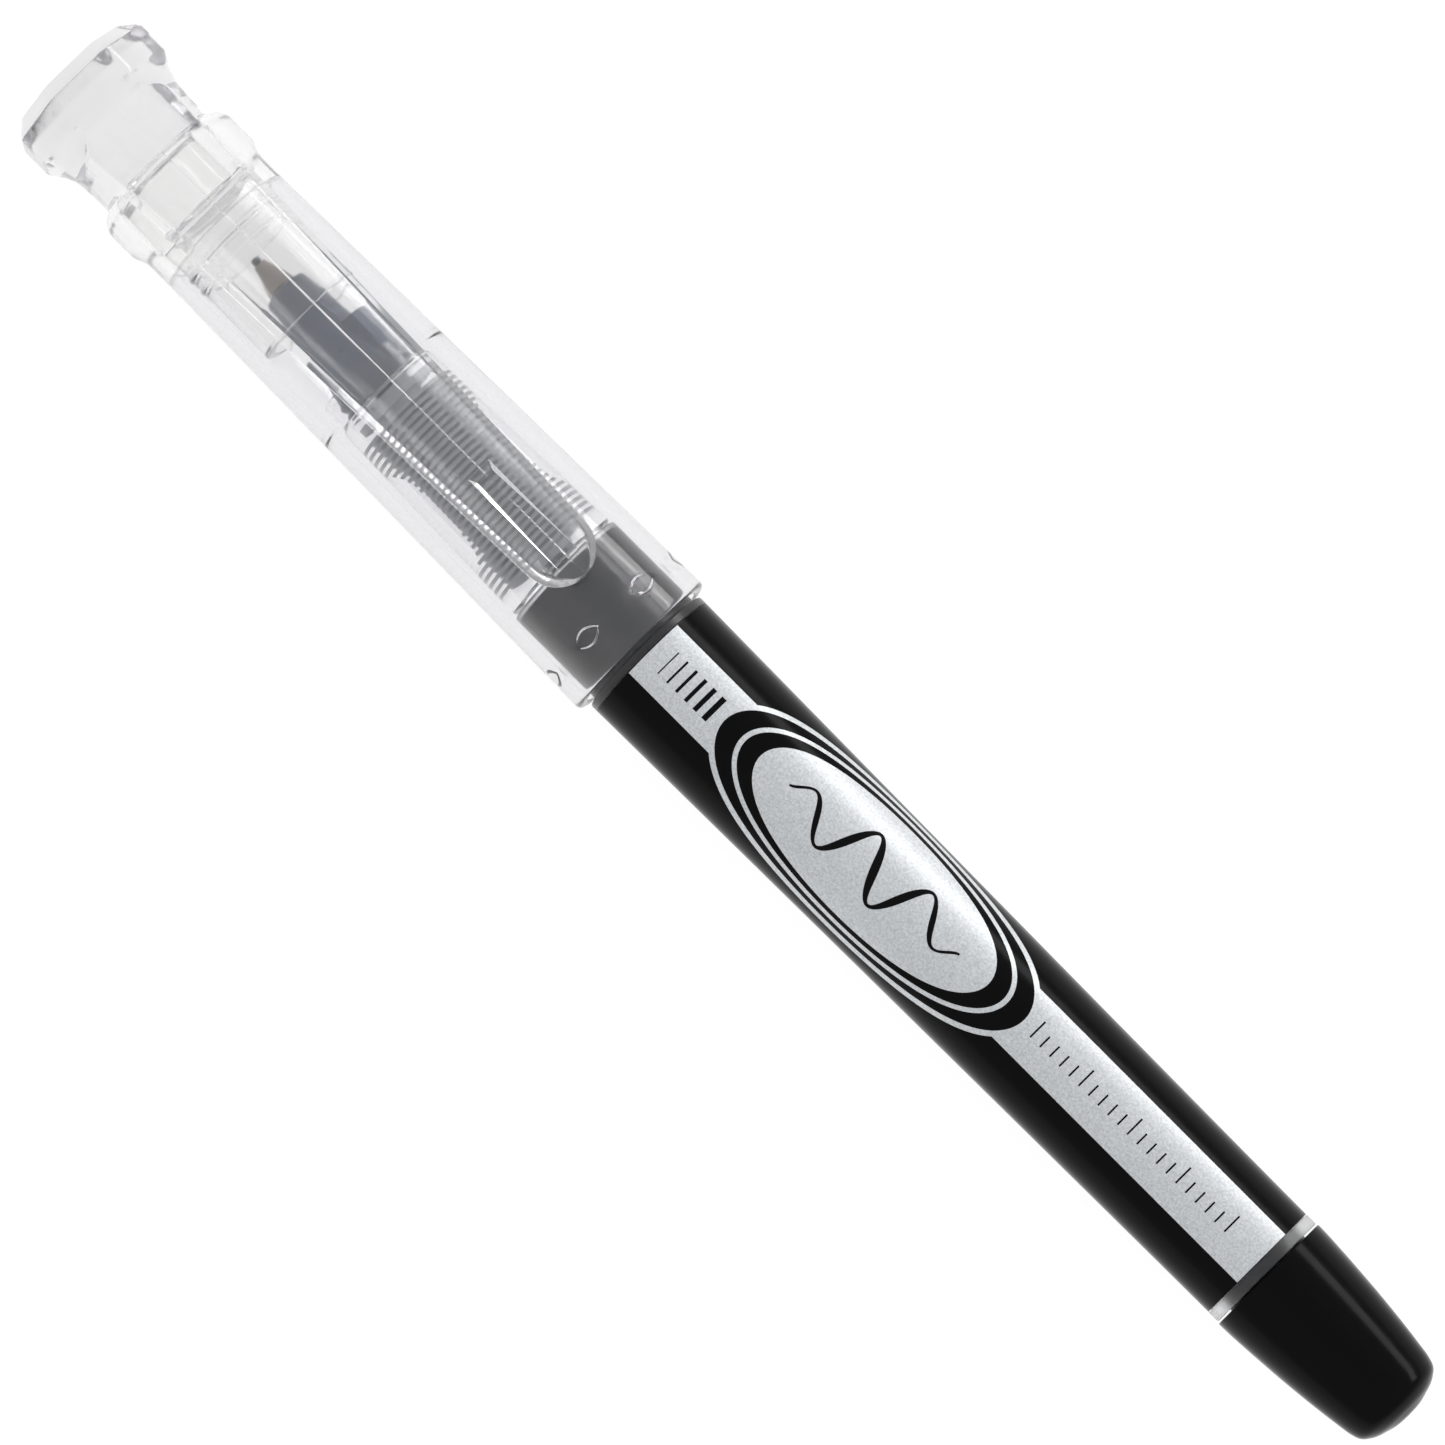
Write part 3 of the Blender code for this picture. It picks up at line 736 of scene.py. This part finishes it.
def make_collector():
    """Comb of thin fins, which wet the section's wall except in a long oval on each side."""
    core = 2.0
    bore = 1.25
    disc_radius = 3.45

    def shape(station, angle, radius):
        side = abs(math.sin(angle))
        along = (station - 43.0) / 4.5
        across = (side - 1.0) / 0.16
        if radius > 3.0 and side > 0.6 and along ** 2 + across ** 2 < 1:
            return radius - 0.45
        return radius

    def fin(start, end, radius):
        return [(start, core), (start, radius), (end, radius), (end, core)]

    front = NOSE_REAR + 0.3
    disc = FIN_FIRST - 1.2
    rear = FIN_FIRST + FIN_COUNT * FIN_PITCH + 0.3
    points = [(front, bore), (front, core), *fin(disc, disc + 0.6, disc_radius)]
    for index in range(FIN_COUNT):
        start = FIN_FIRST + index * FIN_PITCH
        is_wide = index >= FIN_COUNT - WIDE_FINS
        fin_radius = WIDE_FIN_RADIUS if is_wide else section_bore(start) + WET
        points += fin(start, start + FIN_PITCH * 0.5, fin_radius)
    points += [(rear, core), (rear, bore)]
    collector = turned("collector_fins", points, "collector", 128, shape)
    return place(collector, "barrel", "collector_grey", "collector")


def make_feed():
    """The fibre rod through the collector, pointed at its front."""
    front = station_of("feed_rod", 0)
    rear = station_of("feed_rod", 1)
    rod = 0.9
    outline = rounded([
        (front, 0),
        (front, 0.5, 0.1),
        (front + 1, rod, 0.2),
        (rear, rod, 0.1),
        (rear, 0),
    ], 0.1)
    return place(turned("feed_rod_fibre", outline, "feed", 48), "barrel", "feed_fibre", "feed_rod")


def make_section():
    """The clear grip section round the collector, stepped down at its front."""
    step = SECTION_FRONT + 2.2
    outline = rounded([
        (SECTION_FRONT, 4.15, 0.2),
        (step, 4.2, 0.2),
        (step + 0.3, 4.45, 0.2),
        (SECTION_REAR, 4.95, 0.15),
        (SECTION_REAR, section_bore(SECTION_REAR), 0.1),
        (FIN_FIRST, section_bore(FIN_FIRST), 0.2),
        (step, 3.75, 0.3),
        (SECTION_FRONT, 3.7, 0.15),
    ], 0.2)
    section = turned("section_clear_tube", outline, "section")
    return place(section, "barrel", "section_clear", "section_tube")


# ---------------------------------------------------------------- barrel, ink, label and plug


def make_barrel():
    """The clear barrel: a neck, the bare band at the cap's mouth, the label's seat and a bare ring."""
    seat_front = LABEL_FRONT - 0.06
    seat_rear = LABEL_REAR + 0.06
    ring_radius = BARREL_REAR_RADIUS + 0.01
    seat = [mix(LABEL_FRONT, LABEL_REAR, index / 40) for index in range(41)]
    points = [
        (BARREL_FRONT, NECK_RADIUS, 0.2),
        (BARREL_STEP, NECK_RADIUS, 0.15),
        (BARREL_STEP, BARREL_FRONT_RADIUS, 0.15),
        (seat_front, BARREL_FRONT_RADIUS, 0.05),
        (seat_front, BARREL_FRONT_RADIUS - LABEL_RECESS, 0.0),
    ]
    points += [(station, barrel_radius(station) - LABEL_RECESS, 0) for station in seat]
    points += [
        (seat_rear, BARREL_REAR_RADIUS - LABEL_RECESS, 0.0),
        (seat_rear, ring_radius, 0.05),
        (BARREL_REAR, ring_radius, 0.12),
        (BARREL_REAR, BARREL_REAR_RADIUS - BARREL_WALL, 0.1),
        (BARREL_STEP + 2.0, BARREL_FRONT_RADIUS - BARREL_WALL, 0.5),
        (BARREL_STEP, NECK_BORE, 0.5),
        (BARREL_FRONT, NECK_BORE, 0.2),
    ]
    barrel = turned("barrel_clear_tube", rounded(points, 0.1), "barrel")
    return place(barrel, "barrel", "barrel_clear", "barrel_tube")


def make_ink():
    """Ink that wets the barrel's wall, so it reaches a little into the plastic."""
    front = BARREL_FRONT + 0.3
    rear = station_of("ink_charge", 1)
    points = [
        (front, 0),
        (front, NECK_BORE + WET, 0.1),
        (BARREL_STEP - 0.02, NECK_BORE + WET, 0.3),
        (BARREL_STEP + 2.0, BARREL_FRONT_RADIUS - BARREL_WALL + WET, 0.3),
        (rear, BARREL_REAR_RADIUS - BARREL_WALL + WET, 0.1),
        (rear, 0),
    ]
    return place(turned("ink_fill", rounded(points, 0.1), "ink"), "barrel", "ink_black", "ink_charge")


def make_label():
    """The black film on the barrel."""
    stations = [mix(LABEL_FRONT, LABEL_REAR, index / 60) for index in range(61)]
    outer = [(station, barrel_radius(station)) for station in stations]
    inner = [(station, barrel_radius(station) - LABEL_THICKNESS) for station in reversed(stations)]
    return place(turned("label_film", outer + inner, "label", 256), "barrel", "label_print", "label_sleeve")


PRINT_CENTRE = 84.3
PRINT_LIFT = 0.012           # step between the layers of print
STRIPE_HALF = 2.6
OUTER_ELLIPSE = (15.95, 6.6)
MIDDLE_ELLIPSE = (13.75, 5.56)
INNER_ELLIPSE = (11.8, 4.72)


def wrap(station, arc, lift):
    """A point of the print: arc is measured round the barrel from the clip's line."""
    radius = barrel_radius(station)
    angle = arc / radius
    return to_world(station, (radius + lift) * math.sin(angle), (radius + lift) * math.cos(angle))


def print_patch(name, grid, material, layer=0, closed=False):
    """A thin printed patch on the label from a grid of (station, arc) rows. closed joins its ends."""
    builder = bmesh.new()
    low = 0.002 + layer * PRINT_LIFT
    high = low + PRINT_LIFT * 0.8
    sheets = []
    for lift in (low, high):
        sheets.append([[builder.verts.new(wrap(*point, lift)) for point in row] for row in grid])
    bottom, top = sheets
    last_row = len(grid) - 1
    last_column = len(grid[0]) - 1
    for row in range(len(grid) if closed else last_row):
        following = (row + 1) % len(grid)
        for column in range(last_column):
            for sheet in sheets:
                builder.faces.new((sheet[row][column], sheet[row][column + 1],
                                   sheet[following][column + 1], sheet[following][column]))
        for column in (0, last_column):
            builder.faces.new((bottom[row][column], bottom[following][column],
                               top[following][column], top[row][column]))
    if not closed:
        for row in (0, last_row):
            for column in range(last_column):
                builder.faces.new((bottom[row][column], bottom[row][column + 1],
                                   top[row][column + 1], top[row][column]))
    return finish_mesh(name, builder, material, 40)


def ellipse_ring(half_length, half_width, inner_length, inner_width, count=360):
    """An elliptic ring round the print's centre."""
    grid = []
    for index in range(count):
        angle = 2 * math.pi * index / count
        row = []
        for share in (0, 0.5, 1):
            along = mix(inner_length, half_length, share) * math.cos(angle)
            across = mix(inner_width, half_width, share) * math.sin(angle)
            row.append((PRINT_CENTRE + along, across))
        grid.append(row)
    return grid


def ellipse_disc(half_length, half_width, columns=160, rows=40):
    """A filled ellipse at the print's centre, cut a hair short at its two ends."""
    grid = []
    for index in range(columns + 1):
        angle = math.pi * (0.004 + 0.992 * index / columns)
        along = -half_length * math.cos(angle)
        reach = half_width * math.sin(angle)
        grid.append([(PRINT_CENTRE + along, mix(-reach, reach, row / rows)) for row in range(rows + 1)])
    return grid


def stripe_grid(end, side, rows=24, columns=40):
    """A stretch of the stripe from an end to the outer ellipse. side is -1 in front of the ellipse."""
    ring_length = OUTER_ELLIPSE[0] - 0.02
    ring_width = OUTER_ELLIPSE[1]
    grid = []
    for row in range(rows + 1):
        arc = mix(-STRIPE_HALF, STRIPE_HALF, row / rows)
        edge = PRINT_CENTRE + side * ring_length * math.sqrt(1 - (arc / ring_width) ** 2)
        first, last = (end, edge) if side < 0 else (edge, end)
        grid.append([(mix(first, last, step / columns), arc) for step in range(columns + 1)])
    return grid


def stroke_grid(curve, count=160):
    """A pen stroke: curve(share) gives station, arc and half width for a share from 0 to 1."""
    step = 0.002
    grid = []
    for index in range(count + 1):
        share = index / count
        station, arc, half_width = curve(share)
        ahead = curve(min(share + step, 1.0))
        behind = curve(max(share - step, 0.0))
        run = Vector((ahead[0] - behind[0], ahead[1] - behind[1])).normalized()
        side = Vector((-run.y, run.x)) * half_width
        grid.append([(station + side.x * reach, arc + side.y * reach) for reach in (-1, -0.5, 0, 0.5, 1)])
    return grid


def wave_stroke(share):
    """A freehand wave that starts fine, swells and runs out: the pen's own line."""
    half_length = 8.8
    swell = math.sin(share * math.pi)
    station = PRINT_CENTRE + mix(-half_length, half_length, share)
    arc = 2.3 * math.sin(share * math.pi * 6.0) * swell ** 0.6
    half_width = 0.08 + 0.26 * swell ** 0.8 * (0.6 + 0.4 * math.cos(share * math.pi * 12))
    return station, arc, half_width


def line_grid(centre, half_width, low, high, rows):
    """A short straight line across the stripe."""
    grid = []
    for row in range(rows + 1):
        arc = mix(low, high, row / rows)
        grid.append([(centre + half_width * side, arc) for side in (-1, 0, 1)])
    return grid


def make_print():
    """Silver stripe, nested ellipses and generic pen strokes on the label."""
    outer_ring = ellipse_ring(*OUTER_ELLIPSE, 15.5, 6.05)
    middle_ring = ellipse_ring(*MIDDLE_ELLIPSE, 13.35, 5.16)
    pieces = [
        print_patch("silver_outer_ring", outer_ring, "silver", closed=True),
        print_patch("silver_middle_ring", middle_ring, "silver", closed=True),
        print_patch("silver_ellipse", ellipse_disc(*INNER_ELLIPSE), "silver"),
        print_patch("silver_stripe_front", stripe_grid(LABEL_FRONT + 0.02, -1), "silver"),
        print_patch("silver_stripe_rear", stripe_grid(LABEL_REAR - 0.02, 1), "silver"),
        print_patch("ink_wave", stroke_grid(wave_stroke), "print", layer=1),
    ]
    weights = 6
    for index in range(weights):
        half_width = 0.05 + 0.035 * index
        centre = LABEL_FRONT + 1.6 + index * 0.95
        grid = line_grid(centre, half_width, -1.1, 1.1, 8)
        pieces.append(print_patch(f"line_weight_{index}", grid, "print", layer=1))
    ticks = 21
    scale_start = 101.0
    for index in range(ticks):
        reach = 1.0 if index % 5 == 0 else 0.45
        grid = line_grid(scale_start + index, 0.07, -0.6, reach, 6)
        pieces.append(print_patch(f"scale_tick_{index}", grid, "print", layer=1))
    for piece in pieces:
        place(piece, "barrel", "label_print")


def make_plug():
    """The black end plug: a spigot in the barrel, a flange and a tapered, domed end."""
    spigot = BARREL_REAR_RADIUS - BARREL_WALL - 0.3
    front = station_of("end_plug", 0)
    flange = BARREL_REAR + 0.15
    outline = rounded([
        (front, 0),
        (front, spigot - 0.3, 0.2),
        (front + 0.5, spigot, 0.2),
        (flange, spigot, 0.05),
        (flange, 5.17, 0.12),
        (126.6, 5.14, 0.5),
        (129.0, 5.0, 1.5),
        (132.0, 4.78, 1.5),
        (135.0, 4.47, 1.5),
        (137.9, 4.08, 0.8),
        (138.8, 3.8, 0.6),
        (139.45, 2.9, 0.7),
        (LENGTH - 0.05, 1.2, 0.8),
        (LENGTH, 0),
    ], 0.2)
    return place(turned("end_plug_black", outline, "plug"), "barrel", "plug_black", "end_plug")


# ---------------------------------------------------------------- stage, light and camera


def make_floor():
    """A wide plain floor just under the pen, which glows a little like a lit paper sweep."""
    half = 1.6
    corners = [(-half, -half, 0), (half, -half, 0), (half, half, 0), (-half, half, 0)]
    mesh = bpy.data.meshes.new("floor")
    mesh.from_pydata(corners, [], [(0, 1, 2, 3)])
    floor = bpy.data.objects.new("floor", mesh)
    bpy.context.scene.collection.objects.link(floor)
    material, shader, _ = new_material("floor_pale", Base_Color=(0.16, 0.16, 0.16), Roughness=0.9)
    shader.inputs["Specular IOR Level"].default_value = 0.0
    shader.inputs["Emission Color"].default_value = (1.0, 1.0, 1.0, 1.0)
    shader.inputs["Emission Strength"].default_value = 0.93
    floor.data.materials.append(material)
    floor.location.z = -0.0002


def make_world():
    """A pale studio tent, a little darker at the horizon and in the opening right overhead."""
    world = bpy.data.worlds.new("studio")
    world.use_nodes = True
    tree = world.node_tree
    background = tree.nodes["Background"]
    place = tree.nodes.new("ShaderNodeTexCoord")
    split = tree.nodes.new("ShaderNodeSeparateXYZ")
    ramp = tree.nodes.new("ShaderNodeValToRGB")
    horizon, wall = ramp.color_ramp.elements
    horizon.position = 0.05
    horizon.color = (0.66, 0.665, 0.68, 1)
    wall.position = 0.84
    wall.color = (0.8, 0.8, 0.82, 1)
    overhead = ramp.color_ramp.elements.new(0.98)
    overhead.color = (0.67, 0.685, 0.72, 1)
    tree.links.new(place.outputs["Generated"], split.inputs["Vector"])
    tree.links.new(split.outputs["Z"], ramp.inputs["Fac"])
    tree.links.new(ramp.outputs["Color"], background.inputs["Color"])
    bpy.context.scene.world = world


def make_light():
    """One long softbox behind the pen, which draws the soft streak along it."""
    location = Vector((0.08, 0.7, 0.32))
    target = Vector((0.02, 0, 0))
    data = bpy.data.lights.new("softbox_back", "AREA")
    data.energy = 2.9
    data.shape = "RECTANGLE"
    data.size = 0.9
    data.size_y = 0.2
    lamp = bpy.data.objects.new("softbox_back", data)
    bpy.context.scene.collection.objects.link(lamp)
    lamp.location = location
    lamp.rotation_mode = "QUATERNION"
    lamp.rotation_quaternion = (target - location).to_track_quat("-Z", "Y")


def make_camera():
    """Looks down on the pen from above, a little from its clip's far side and its plug's end.

    The pen runs corner to corner, so the picture's right lies halfway between along and across.
    """
    aim = Vector((-0.00165, 0.0003, AXIS_HEIGHT * MM))
    location = aim + Vector((0.0564, -0.0708, 0.7))
    back = (location - aim).normalized()
    along = Vector((1, 0, 0))
    level_right = (along - back * along.dot(back)).normalized()
    level_up = back.cross(level_right)
    right = (level_right + level_up).normalized()
    up = back.cross(right)
    data = bpy.data.cameras.new("camera")
    data.sensor_width = 36.0
    data.lens = 238.2
    camera = bpy.data.objects.new("camera", data)
    bpy.context.scene.collection.objects.link(camera)
    rotation = Matrix((right, up, back)).transposed()
    camera.matrix_world = Matrix.Translation(location) @ rotation.to_4x4()
    bpy.context.scene.camera = camera


def main():
    scene = bpy.context.scene
    scene.view_settings.view_transform = "Standard"
    scene.cycles.max_bounces = 32
    scene.cycles.transmission_bounces = 28
    scene.cycles.glossy_bounces = 10
    make_crown_and_clip()
    make_cap_tube()
    make_inner_cap()
    make_point()
    make_sleeve()
    make_nose()
    make_collector()
    make_feed()
    make_section()
    make_barrel()
    make_ink()
    make_label()
    make_print()
    make_plug()
    make_floor()
    make_world()
    make_light()
    make_camera()


main()
